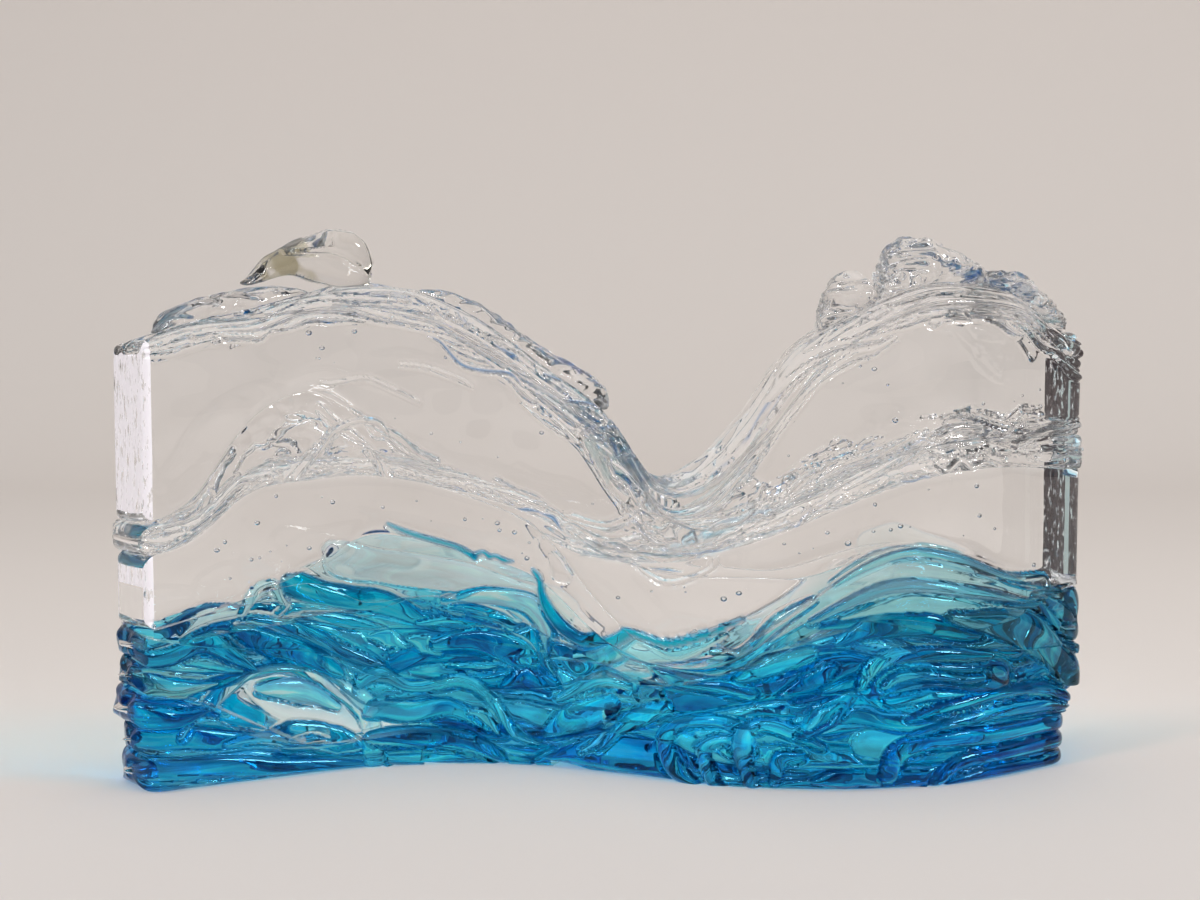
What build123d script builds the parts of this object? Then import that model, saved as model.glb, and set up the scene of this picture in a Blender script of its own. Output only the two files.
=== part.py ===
import math
import os
from build123d import *

# Glass wave sculpture, cast by pouring hot glass in folds into a bent steel mould.
# X runs along the wall of glass, Z is up and the front faces -Y.
# The origin is on the floor, at the middle of the line between the two ends.

# The mould in plan: three straight runs joined by two opposed bends
wall_length = 380.0
bend_depth = 58.0
left_bend_radius = 125.0
right_bend_radius = 100.0
wall_thickness = 38.0

# The three depths of glass that fill the mould, at their deepest
blue_height = 97.0
middle_height = 50.0
upper_height = 86.0

# Every fold is kept this far from the one under it
seam = 0.3
# A fold that thins below this ends there
thin_edge = 1.6
# The foot is ground flat by this much
foot_cut = 1.0
# Rounding of the end faces of the thick clear pours
end_round = 4.0

# Crest trails, which lie along the top of the wall
trail_height = 26.0
trail_width = 30.0
trail_round = 8.0
# How far a trail melted down into the wall's top as it was laid
trail_sink = 1.5

# The most that an end is rounded, as a share of its height, and that a trail's
# corner is, as a share of its smaller side
nose_share = 0.36
corner_share = 0.45
# The most that one bend takes up of the straight run between the two bends
bend_share = 0.49

# Where the runs of the mould would meet, as shares of wall_length and bend_depth
corner_shares = ((-0.136, 0.96), (0.252, -1.0))

# Stations divide the wall's length evenly; each table has one value a station
station_count = 17
steps_per_station = 2

# Top of the blue glass, as shares of blue_height
blue_top_shares = (0.66, 0.71, 0.78, 0.88, 1.0, 0.97, 0.9, 0.8, 0.57, 0.48, 0.58,
                   0.75, 0.93, 1.0, 0.94, 0.83, 0.76)
# Depth of the lower clear glass, as shares of middle_height
middle_shares = (0.6, 0.62, 0.84, 0.72, 0.5, 0.48, 0.5, 0.52, 0.7, 0.86, 0.82,
                 0.68, 0.54, 0.54, 0.72, 0.92, 1.0)
# Depth of the upper clear glass, as shares of upper_height
upper_shares = (0.98, 0.99, 0.84, 0.86, 0.89, 0.9, 0.84, 0.74, 0.68, 0.36, 0.48,
                0.78, 0.84, 0.88, 0.85, 0.8, 0.66)

# Each fold, lowest first: the station that it starts at, its width as a share of
# wall_thickness, and its share of the depth at each station that it passes
blue_fold_shares = (
    ("base_fold_left", 0, 0.98, (15, 15, 14, 9, 4, 2)),
    ("base_fold_right", 10, 0.97, (2, 6, 10, 9, 9, 8, 8)),
    ("base_fold_middle", 3, 0.94, (2, 8, 12, 9, 4)),
    ("smooth_band", 6, 0.97, (3, 8, 14, 14, 7, 2)),
    ("big_loop_left", 8, 1.03, (2, 8, 16, 12, 4)),
    ("left_fold_two", 0, 0.95, (11, 12, 6, 2)),
    ("left_fold_three", 0, 1.0, (14, 12, 5)),
    ("clear_window", 1, 0.93, (3, 18, 29, 9, 2)),
    ("left_fold_four", 0, 0.96, (12, 9, 3)),
    ("right_fold_two", 11, 1.0, (3, 9, 12, 13, 13, 12)),
    ("big_loop_right", 9, 1.05, (3, 9, 17, 12, 4)),
    ("middle_fold_two", 4, 1.01, (4, 12, 14, 10, 5)),
    ("arch_trail", 0, 1.02, (12, 12, 10, 8, 12, 7, 2)),
    ("leaf_fold", 6, 1.0, (2, 7, 10, 8, 3)),
    ("right_fold_three", 11, 0.96, (2, 7, 12, 12, 11, 10)),
    ("middle_fold_three", 4, 0.95, (2, 9, 13, 11, 4)),
    ("swirl_fold", 9, 0.98, (2, 9, 14, 9, 3)),
    ("eye_fold", 11, 1.02, (4, 8, 6, 2)),
    ("wave_body_left", 1, 0.97, (3, 8, 12, 15, 11, 6, 2)),
    ("rounded_fold", 3, 1.02, (2, 7, 13, 14, 7)),
    ("teal_trail", 12, 1.04, (3, 9, 13, 15, 16)),
    ("right_top_nose", 13, 0.98, (3, 7, 13, 20)),
    ("pale_veil_left", 1, 0.94, (8, 10, 5)),
    ("veil_curl_left", 2, 0.98, (3, 8, 3)),
    ("turquoise_left", 3, 0.95, (6, 25, 22, 19, 18, 8, 2)),
    ("turquoise_right", 9, 0.96, (4, 6, 8, 10, 12, 12, 6)),
    ("veil_crest_right", 10, 0.99, (3, 6, 10, 13, 13, 7)),
)
middle_fold_shares = (
    ("lower_clear_left", 0, 0.97, (30, 31, 42, 36, 25, 24, 23, 20, 12, 3)),
    ("valley_pool", 6, 1.01, (2, 6, 22, 34, 28, 12, 3)),
    ("lower_clear_right", 9, 0.98, (5, 12, 20, 24, 27, 36, 46, 50)),
)
upper_fold_shares = (
    ("middle_trail_left", 0, 1.0, (13, 10, 8, 8, 7, 7, 7, 6, 4, 2)),
    ("middle_trail_right", 9, 1.03, (3, 8, 9, 11, 12, 12, 12, 14)),
    ("inner_wave", 1, 0.95, (6, 20, 28, 16, 4)),
    ("upper_clear_left", 0, 0.99, (73, 69, 40, 33, 48, 58, 56, 48, 48, 12)),
    ("upper_clear_right", 9, 0.96, (6, 24, 48, 52, 56, 53, 50, 43)),
    ("left_slope_trail", 2, 0.93, (3, 6, 8, 9, 9, 9, 9, 5)),
    ("right_slope_trail", 9, 0.9, (5, 9, 10, 9, 8, 8, 7)),
)

# How far an end nose stands past the end of the mould, as shares of wall_thickness
reach_shares = (
    ("left_fold_three", 0.04),
    ("base_fold_right", -0.12),
    ("right_fold_two", -0.14),
    ("right_fold_three", -0.06),
    ("teal_trail", 0.06),
    ("right_top_nose", 0.12),
    ("middle_trail_left", 0.05),
    ("middle_trail_right", 0.04),
)

# Crest trails: station, rise over the wall's top, height and width, the last
# three as shares of trail_height, trail_height and trail_width
crest_trail_shares = (
    ("crest_lump_left",
        (0.45, 0.0, 0.1, 0.3), (0.7, 0.0, 0.32, 0.6), (1.3, 0.0, 0.38, 0.7),
        (2.0, 0.0, 0.38, 0.7), (2.6, 0.0, 0.28, 0.6), (3.0, 0.0, 0.12, 0.4)),
    ("curl",
        (1.9, 0.46, 0.1, 0.2), (2.4, 0.46, 0.34, 0.5), (2.9, 0.36, 0.6, 0.7),
        (3.35, 0.16, 0.88, 0.85), (3.75, 0.04, 0.96, 0.9), (4.05, 0.06, 0.7, 0.75),
        (4.2, 0.2, 0.3, 0.4)),
    ("rounded_trail",
        (5.0, 0.0, 0.12, 0.3), (5.5, 0.0, 0.27, 0.5), (6.5, 0.0, 0.34, 0.55),
        (7.4, 0.0, 0.38, 0.55), (7.95, 0.06, 0.4, 0.5), (8.15, 0.16, 0.26, 0.3)),
    ("crest_block_right",
        (11.4, 0.0, 0.2, 0.4), (11.6, 0.0, 0.64, 0.75), (11.9, 0.0, 0.72, 0.8),
        (12.2, 0.0, 0.5, 0.7), (12.35, 0.0, 0.2, 0.4)),
    ("crest_peak_right",
        (12.4, 0.0, 0.26, 0.5), (12.6, 0.0, 0.66, 0.85), (12.9, 0.0, 0.8, 1.0),
        (13.5, 0.0, 0.6, 1.0), (14.0, 0.0, 0.4, 0.9), (14.25, 0.0, 0.16, 0.5)),
    ("crest_tip_right",
        (14.3, 0.0, 0.16, 0.5), (14.6, 0.0, 0.32, 0.9), (15.2, 0.0, 0.32, 1.0),
        (15.7, 0.0, 0.28, 0.9), (15.95, 0.0, 0.16, 0.6)),
)

last_station = station_count - 1
step_places = [step / steps_per_station
               for step in range(last_station * steps_per_station + 1)]
station_length = wall_length / last_station
wall_height = blue_height + middle_height + upper_height
# Front views are drawn this far behind the wall, and run through as far in front
behind = 2 * bend_depth

left_end, right_end = Vector(-wall_length / 2, 0), Vector(wall_length / 2, 0)
left_corner, right_corner = [
    Vector(x * wall_length, y * bend_depth) for x, y in corner_shares]


def smooth(values, place):
    """The value of a table at a place between its stations."""
    low = min(int(place), last_station - 1)
    part = place - low
    before = values[max(low - 1, 0)]
    start, end = values[low], values[low + 1]
    after = values[min(low + 2, last_station)]
    return start + part / 2 * (
        end - before + part * (
            2 * before - 5 * start + 4 * end - after
            + part * (3 * (start - end) + after - before)))


def station_x(place):
    return station_length * place - wall_length / 2


def blue_top(place):
    return blue_height * smooth(blue_top_shares, place)


def middle_top(place):
    return blue_top(place) + middle_height * smooth(middle_shares, place)


def wall_top(place):
    return middle_top(place) + upper_height * smooth(upper_shares, place)


def full_row(first, values):
    """A fold's shares at every station, with none where it doesn't run."""
    row = [0] * station_count
    row[first:first + len(values)] = values
    return row


def wave_points(levels, rise=0):
    """A wave line in front view, run out past both ends of the mould."""
    places = [-2, -1 / 2, *step_places, last_station + 1 / 2, last_station + 2]
    first = levels[0] + (levels[0] - levels[1]) / 2
    last = levels[-1] + (levels[-1] - levels[-2]) / 2
    levels = [first, first, *levels, last, last]
    return [(station_x(place), level + rise) for place, level in zip(places, levels)]


def fold_lines(fold_shares, floor_line, top_line):
    """The line under and the line over each fold, at every step of the wall."""
    rows = [full_row(first, values) for _, first, _, values in fold_shares]
    floor = [floor_line(place) for place in step_places]
    lines = [list(floor) for _ in range(len(rows) + 1)]
    for step, place in enumerate(step_places):
        parts = [max(smooth(row, place), 0) for row in rows]
        depth = top_line(place) - floor[step]
        for level, _ in enumerate(parts):
            lines[level + 1][step] = lines[level][step] + depth * parts[level] / sum(parts)
    return [(fold[0], fold[2], lines[level], lines[level + 1])
            for level, fold in enumerate(fold_shares)]


def bend_radius(radius, before, corner, after):
    """A bend's radius, limited by the run between the two bends."""
    turn = math.radians((corner - before).get_angle(after - corner))
    run = (right_corner - left_corner).length
    return min(radius, bend_share * run / math.tan(turn / 2))


bend_radii = (bend_radius(left_bend_radius, left_end, left_corner, right_corner),
              bend_radius(right_bend_radius, left_corner, right_corner, right_end))


def mould_ends(reach):
    left_out = (left_end - left_corner).normalized() * reach
    right_out = (right_end - right_corner).normalized() * reach
    return left_end + left_out, right_end + right_out


def poured_fold(name, under, over, width, nose):
    """One fold: its front view, cut to the bend and thickness of the mould."""
    first, last = mould_ends(wall_thickness * dict(reach_shares).get(name, 0))
    bottom_points, top_points = wave_points(under, seam), wave_points(over)
    thick = [place for place, low, high in zip(step_places, under, over)
             if high - low > thin_edge]
    at_left, at_right = thick[0] == 0, thick[-1] == last_station
    start_x = bottom_points[0][0] if at_left else station_x(thick[0])
    end_x = bottom_points[-1][0] if at_right else station_x(thick[-1])
    with BuildPart() as fold:
        with BuildSketch(Plane.XZ.offset(-behind)):
            with BuildLine():
                top = Spline(*top_points)
                Polyline(top @ 0, (top_points[0][0], -wall_height),
                         (top_points[-1][0], -wall_height), top @ 1)
            make_face()
            with BuildLine():
                bottom = Spline(*bottom_points)
                Polyline(bottom @ 0, (bottom_points[0][0], -wall_height),
                         (bottom_points[-1][0], -wall_height), bottom @ 1)
            make_face(mode=Mode.SUBTRACT)
            with Locations(((start_x + end_x) / 2, 0)):
                Rectangle(end_x - start_x, 4 * wall_height, mode=Mode.INTERSECT)
        extrude(amount=2 * behind)
        with BuildSketch(Plane.XY.offset(-foot_cut)):
            with BuildLine():
                FilletPolyline(first, left_corner, right_corner, last, radius=bend_radii)
            trace(line_width=width)
        extrude(amount=2 * wall_height, mode=Mode.INTERSECT)
        if min(under) < 0:
            split(bisect_by=Plane.XY, keep=Keep.TOP)
        for end, corner, closed in ((first, left_corner, at_left), (last, right_corner, at_right)):
            if closed:
                end_face = fold.faces().sort_by(Axis((0, 0, 0), end - corner))[-1]
                height = end_face.bounding_box().size.Z
                fillet(end_face.edges(), min(nose, nose_share * height))
    fold.part.label = name
    return fold.part


def wall_place(x):
    """The point of the wall's centre line at x, and its direction there."""
    with BuildLine() as path:
        FilletPolyline(left_end, left_corner, right_corner, right_end, radius=bend_radii)
    low, high = 0, 1
    while high - low > seam / wall_length / 10:
        middle = (low + high) / 2
        low, high = (middle, high) if (path.line @ middle).X < x else (low, middle)
    return path.line @ low, path.line % low


def crest_trail(name, table):
    """A clear trail laid along the top of the wall, and seated on it."""
    seat = wave_points([wall_top(place) for place in step_places], seam)
    with BuildPart() as trail:
        for place, rise, height, width in table:
            point, along = wall_place(station_x(place))
            tall, wide = height * trail_height, width * trail_width
            middle = wall_top(place) + rise * trail_height + tall / 2 - trail_sink
            plane = Plane((point.X, point.Y, middle), x_dir=(-along.Y, along.X, 0), z_dir=along)
            with BuildSketch(plane):
                RectangleRounded(wide, tall, min(trail_round, corner_share * min(tall, wide)))
        loft()
        with BuildSketch(Plane.XZ.offset(-behind)):
            with BuildLine():
                top = Spline(*seat)
                Polyline(top @ 0, (seat[0][0], 0), (seat[-1][0], 0), top @ 1)
            make_face()
        extrude(amount=2 * behind, mode=Mode.SUBTRACT)
    trail.part.label = name
    return trail.part


os.makedirs("parts", exist_ok=True)
pieces = []
for fold_shares, floor_line, top_line, nose in (
        (blue_fold_shares, lambda place: -foot_cut, blue_top, wall_thickness / 2),
        (middle_fold_shares, blue_top, middle_top, end_round),
        (upper_fold_shares, middle_top, wall_top, end_round)):
    for name, share, under, over in fold_lines(fold_shares, floor_line, top_line):
        pieces.append(poured_fold(name, under, over, wall_thickness * share, nose))
for name, *table in crest_trail_shares:
    pieces.append(crest_trail(name, table))

for piece in pieces:
    export_step(piece, f"parts/{piece.label}.step")
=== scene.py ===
import math
import bmesh
import bpy
import numpy as np
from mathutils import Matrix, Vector
from mathutils.bvhtree import BVHTree


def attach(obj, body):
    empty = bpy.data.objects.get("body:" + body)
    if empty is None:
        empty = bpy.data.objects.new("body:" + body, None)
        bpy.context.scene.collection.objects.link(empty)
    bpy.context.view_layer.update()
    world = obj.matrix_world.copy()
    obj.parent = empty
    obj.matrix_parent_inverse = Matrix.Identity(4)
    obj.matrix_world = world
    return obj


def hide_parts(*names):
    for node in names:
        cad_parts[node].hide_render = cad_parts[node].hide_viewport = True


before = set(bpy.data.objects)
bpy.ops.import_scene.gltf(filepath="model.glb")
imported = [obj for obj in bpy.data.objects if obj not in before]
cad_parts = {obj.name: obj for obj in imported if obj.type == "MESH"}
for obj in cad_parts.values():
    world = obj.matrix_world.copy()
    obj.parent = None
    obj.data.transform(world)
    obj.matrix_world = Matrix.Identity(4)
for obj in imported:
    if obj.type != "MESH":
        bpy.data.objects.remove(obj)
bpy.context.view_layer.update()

# ---------------------------------------------------------------- the blue folds
# Twenty-seven folds of hot blue glass, trailed one over the other into a bent steel
# mould. Each has a rounded skin where it met the mould, and is fused to the folds
# under and over it, so only the crease between two folds shows.

MM = 0.001
THICK = 38.0
SKYLINE_ROUND = 7.5
FOOT_ROUND = 3.0
FLOOR_GAP = 0.15

# The mould's line in plan: where its straight runs meet, and the bends' radii
RUN_CORNERS = ((-190.0, 0.0), (-51.68, 55.68), (95.76, -58.0), (190.0, 0.0))
BEND_RADII = (125.0, 100.0)


def mould_line(step=0.25, spare=30.0, bend_points=161):
    """Places along the mould's middle line, and the way that each one faces."""
    corners = [np.array(c) for c in RUN_CORNERS]
    knots = [corners[0]]
    for before, corner, after, radius in (
            (corners[0], corners[1], corners[2], BEND_RADII[0]),
            (corners[1], corners[2], corners[3], BEND_RADII[1])):
        back = (before - corner) / np.linalg.norm(before - corner)
        on = (after - corner) / np.linalg.norm(after - corner)
        half = math.acos(back @ on) / 2
        middle = corner + (back + on) / np.linalg.norm(back + on) * radius / math.sin(half)
        start, end = (corner + way * radius / math.tan(half) - middle for way in (back, on))
        first, last = math.atan2(start[1], start[0]), math.atan2(end[1], end[0])
        turns = np.linspace(first, last, bend_points)
        knots += [middle + radius * np.array((math.cos(a), math.sin(a))) for a in turns]
    knots.append(corners[3])
    knots = np.array(knots)
    knots = np.vstack([knots[0] - spare * unit(knots[1] - knots[0]), knots,
                       knots[-1] + spare * unit(knots[-1] - knots[-2])])
    run = np.concatenate([[0], np.cumsum(np.linalg.norm(np.diff(knots, axis=0), axis=1))]) - spare
    places = np.arange(run[0], run[-1], step)
    x, y = np.interp(places, run, knots[:, 0]), np.interp(places, run, knots[:, 1])
    along = np.stack([np.gradient(x, places), np.gradient(y, places)], 1)
    return places, x, y, along[:, 1], -along[:, 0], run[-1] - spare


def unit(v):
    return v / np.linalg.norm(v)


LINE_S, LINE_X, LINE_Y, FRONT_X, FRONT_Y, LENGTH = mould_line()


def on_line(s, values):
    return np.interp(s, LINE_S, values)


def wall_point(s, out):
    """The point that stands out from the middle line at s, towards the front."""
    return (on_line(s, LINE_X) + out * on_line(s, FRONT_X),
            on_line(s, LINE_Y) + out * on_line(s, FRONT_Y))


def s_at(x):
    return np.interp(x, LINE_X, LINE_S)


NOISE_CELLS = 64
NOISE_START = 1000


def soft_noise(u, v, seed):
    """Smooth noise between -1 and 1, with one bump to each unit of u and v."""
    grid = np.random.default_rng(seed).uniform(-1, 1, (NOISE_CELLS, NOISE_CELLS))
    u, v = np.asarray(u, float) + NOISE_START, np.asarray(v, float) + NOISE_START
    iu, iv = np.floor(u).astype(int), np.floor(v).astype(int)
    fu, fv = u - iu, v - iv
    fu, fv = fu * fu * (3 - 2 * fu), fv * fv * (3 - 2 * fv)
    (iu, ju), (iv, jv) = ((i % NOISE_CELLS, (i + 1) % NOISE_CELLS) for i in (iu, iv))
    near = grid[iu, iv] * (1 - fu) + grid[ju, iv] * fu
    far = grid[iu, jv] * (1 - fu) + grid[ju, jv] * fu
    return near * (1 - fv) + far * fv


def ease(t):
    t = np.clip(t, 0, 1)
    return t * t * (3 - 2 * t)


# Front views of all folds, read from the frame: the line under and over each, by X. A
# fold that stops within END_SHY of an end runs on to it, at the slope that its line has
# over SLOPE_RUN, from END_MARGIN in
WAVE_X = np.arange(-190.0, 190.5, 1.0)
END_SHY = 5
END_MARGIN = 10
SLOPE_RUN = 5
FAR_OUT = 200
END_REACH = 25


def read_folds():
    """By fold: its line under, its line over, how far its ends reach, and its width."""
    low, high, ends, widths = {}, {}, {}, {}
    for name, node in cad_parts.items():
        corners = [tuple(v.co) for v in node.data.vertices]
        tree = BVHTree.FromPolygons(corners, [tuple(p.vertices) for p in node.data.polygons])
        under, over = np.full(len(WAVE_X), np.nan), np.full(len(WAVE_X), np.nan)
        for i, x in enumerate(WAVE_X):
            y = np.interp(x, LINE_X, LINE_Y) * MM
            top = tree.ray_cast((x * MM, y, 1.0), (0, 0, -1))
            foot = tree.ray_cast((x * MM, y, -1.0), (0, 0, 1))
            if top[0] and foot[0]:
                over[i], under[i] = top[0].z / MM, foot[0].z / MM
        there = np.where(~np.isnan(over))[0]
        for side, edge in ((there[0], 0), (there[-1], len(WAVE_X) - 1)):
            if abs(side - edge) <= END_SHY:
                way = 1 if edge == 0 else -1
                near, far = edge + way * END_MARGIN, edge + way * (END_MARGIN + SLOPE_RUN)
                rim = slice(0, near) if edge == 0 else slice(near + 1, None)
                for line in (under, over):
                    slope = (line[near] - line[far]) / (WAVE_X[near] - WAVE_X[far])
                    line[rim] = line[near] + slope * (WAVE_X[rim] - WAVE_X[near])
        low[name], high[name] = under, over
        there = np.where(~np.isnan(over))[0]
        middle = there[len(there) // 2]
        s, z = s_at(WAVE_X[middle]), (under[middle] + over[middle]) / 2
        out_x, out_y = on_line(s, FRONT_X), on_line(s, FRONT_Y)
        width = 2 * FAR_OUT * MM
        for side in (1, -1):
            x, y = wall_point(s, side * FAR_OUT)
            width -= tree.ray_cast((x * MM, y * MM, z * MM), (-side * out_x, -side * out_y, 0))[3]
        widths[name] = width / MM
        reach = []
        for i, at_end, s_end, way in ((0, there[0] == 0, 0, -1),
                                      (-1, there[-1] == len(WAVE_X) - 1, LENGTH, 1)):
            if not at_end:
                reach.append(None)
                continue
            x, y = wall_point(s_end + way * END_REACH, 0)
            tx, ty = -on_line(s_end, FRONT_Y) * way, on_line(s_end, FRONT_X) * way
            hit = tree.ray_cast((x * MM, y * MM, (under[i] + over[i]) / 2 * MM), (-tx, -ty, 0))
            reach.append(END_REACH - hit[3] / MM if hit[0] else 0.0)
        ends[name] = reach
    return low, high, ends, widths


LOW, HIGH, ENDS, WIDTHS = read_folds()
TRAILS_ON_TOP = [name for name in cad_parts
                 if name.startswith("crest_") or name in ("curl", "rounded_trail")]
FOLDS = [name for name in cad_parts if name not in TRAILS_ON_TOP]
TAIL_GAP = 0.45
TAIL_DRIFT = 2.5
SEAM = 0.04


def close_seams():
    """Each fold is drawn out until its tail has no height, and meets its neighbours."""
    for name in FOLDS:
        there = np.where(~np.isnan(HIGH[name]))[0]
        for i, way in ((there[0], -1), (there[-1], 1)):
            z = (LOW[name][i] + HIGH[name][i]) / 2
            i += way
            while 0 <= i < len(WAVE_X):
                under = [HIGH[n][i] for n in FOLDS if n != name
                         and HIGH[n][i] < z + TAIL_DRIFT and LOW[n][i] < z]
                over = [LOW[n][i] for n in FOLDS if n != name
                        and LOW[n][i] > z - TAIL_DRIFT and HIGH[n][i] > z]
                if not under or not over or min(over) - max(under) < TAIL_GAP:
                    break
                LOW[name][i], HIGH[name][i] = max(under), min(over)
                z = (LOW[name][i] + HIGH[name][i]) / 2
                i += way
    closed_under = {name: np.zeros(len(WAVE_X)) for name in FOLDS}
    closed_over = {name: np.zeros(len(WAVE_X)) for name in FOLDS}
    for i in range(len(WAVE_X)):
        stack = sorted((n for n in FOLDS if not np.isnan(HIGH[n][i])),
                       key=lambda n: LOW[n][i] + HIGH[n][i])
        for under, over in zip(stack, stack[1:]):
            meet = (HIGH[under][i] + LOW[over][i]) / 2
            HIGH[under][i], LOW[over][i] = meet - SEAM, meet + SEAM
            closed_over[under][i] = closed_under[over][i] = 1
    sky = np.nanmax([HIGH[n] for n in FOLDS], axis=0)
    return closed_under, closed_over, sky


CLOSED_UNDER, CLOSED_OVER, SKY = close_seams()

# How much of the red, green and blue is lost in the painted shade where two blue forms meet,
# which stands in for the dark lines that refraction draws there, and in the dark wisps inside
# the blue
EDGE_SHADE = np.array((0.92, 0.66, 0.40))
WISP_INK = np.array((0.95, 0.62, 0.34))

# Trails that show on the two faces of the wall. Each has a path, its half width along
# it, how far it stands out, its tint, how blue it is, and the depth of its edge
face_trails = {1: [], -1: []}
STEPS_PER_RUN = 6
TRAIL_REACH = 2.0
RIM_WIDE, BLEND_WIDE, LINE_WIDE = 1.3, 0.7, 0.6


def lay_trail(face, path, half_widths, bulge, tint=(1, 1, 1), veil=1.0, groove=1.2):
    """Lays a rounded trail on one face, its path smoothed and cut to short steps."""
    path = np.array(path, float)
    path[:, 0] = s_at(path[:, 0])
    half_widths = np.interp(np.linspace(0, 1, len(path)),
                            np.linspace(0, 1, len(half_widths)), half_widths)
    points = []
    for i in range(len(path) - 1):
        a, b, c, d = (path[int(np.clip(k, 0, len(path) - 1))] for k in (i - 1, i, i + 1, i + 2))
        for t in np.linspace(0, 1, STEPS_PER_RUN + 1)[:-1]:
            bow = 2 * a - 5 * b + 4 * c - d + t * (3 * (b - c) + d - a)
            place = b + t / 2 * (c - a + t * bow)
            points.append((*place, half_widths[i] * (1 - t) + half_widths[i + 1] * t))
    points.append((*path[-1], half_widths[-1]))
    points = np.array(points)
    run = np.concatenate([[0], np.cumsum(np.linalg.norm(np.diff(points[:, :2], axis=0), axis=1))])
    face_trails[face].append((points, run, bulge, np.array(tint, float), veil, groove))


def trails_over(face, s, z, shape, tint, veil, flow):
    """Lays the trails of one face over the skin's own shape, tint and flow."""
    for order, (points, run, bulge, colour, blue, groove) in enumerate(face_trails[face]):
        reach = points[:, 2].max() + TRAIL_REACH
        near = np.where((s > points[:, 0].min() - reach) & (s < points[:, 0].max() + reach)
                        & (z > points[:, 1].min() - reach) & (z < points[:, 1].max() + reach))[0]
        if len(near) == 0:
            continue
        here = np.stack([s[near], z[near]], 1)
        best, half = np.full(len(near), 1e9), np.ones(len(near))
        along, off = np.zeros(len(near)), np.zeros(len(near))
        for k, (a, b) in enumerate(zip(points[:-1], points[1:])):
            step = b[:2] - a[:2]
            t = np.clip(((here - a[:2]) @ step) / max(step @ step, 1e-9), 0, 1)
            apart = here - a[:2] - t[:, None] * step
            gap = np.linalg.norm(apart, axis=1)
            width = np.maximum(a[2] + (b[2] - a[2]) * t, 0.05)
            closer = gap / width < best
            best, half = np.where(closer, gap / width, best), np.where(closer, width, half)
            side = np.sign(step[0] * apart[:, 1] - step[1] * apart[:, 0])
            along = np.where(closer, run[k] + t * (run[k + 1] - run[k]), along)
            off = np.where(closer, gap * side, off)
        inside = best < 1
        edge_depth = np.minimum(groove, half * 0.7)
        crown = -edge_depth + (edge_depth + bulge) * np.sqrt(np.clip(1 - best ** 2.2, 0, 1))
        rim = ease((best - 1) * half / RIM_WIDE)
        shape[near] = np.where(inside, crown, -edge_depth * (1 - rim) + shape[near] * rim)
        blend = ease((1.08 - best) * half / BLEND_WIDE)
        # Painted shade: a dark line along the trail's edge, standing in for the line that
        # refraction draws there
        line = np.clip(1 - np.abs(best - 1) * half / LINE_WIDE, 0, 1) * min(1.4 * blue, 1)
        tint[near] = tint[near] * (1 - blend)[:, None] + colour * blend[:, None]
        tint[near] *= 1 - line[:, None] * EDGE_SHADE
        veil[near] = veil[near] * (1 - blend) + blue * blend
        flow[near[inside]] = np.stack([along + order * 37.0, off * 0.8 + order * 11.0], 1)[inside]
    return shape, tint, veil, flow


STREWN_POINTS = 6
STREWN_TAPERS = ((0.2, 1, 1, 0.2), (1, 1, 0.9, 0.1), (0.1, 0.8, 1, 1))


def strew_trails(face, low, high, count, seed, lengths, half, bulge, tints, veils, groove=0.8):
    """Small trails at chance places between two lines, each running the way they run."""
    chance = np.random.default_rng(seed)
    there = np.where(~np.isnan(low + high))[0]
    x_line, low_line, high_line = WAVE_X[there], low[there], high[there]
    for _ in range(count):
        length = chance.uniform(*lengths)
        start = chance.uniform(x_line[0] - 0.3 * length, x_line[-1] - 0.5 * length)
        level, drift = chance.uniform(0.05, 0.95), chance.uniform(-0.5, 0.5)
        x = np.linspace(start, start + length, STREWN_POINTS)
        level = level + drift * np.linspace(-0.5, 0.5, STREWN_POINTS)
        level = np.clip(level + 0.1 * chance.uniform(-1, 1, STREWN_POINTS), -0.1, 1.1)
        z = np.interp(x, x_line, low_line) * (1 - level) + np.interp(x, x_line, high_line) * level
        width = chance.uniform(*half)
        taper = STREWN_TAPERS[chance.integers(3)]
        pick = chance.integers(len(tints))
        lay_trail(face, list(zip(x, z)), [width * t for t in taper], chance.uniform(*bulge),
                  tints[pick], veils[pick], groove)


STRAND_FADE = 1.2
EDGE_LINE = 0.9


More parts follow.
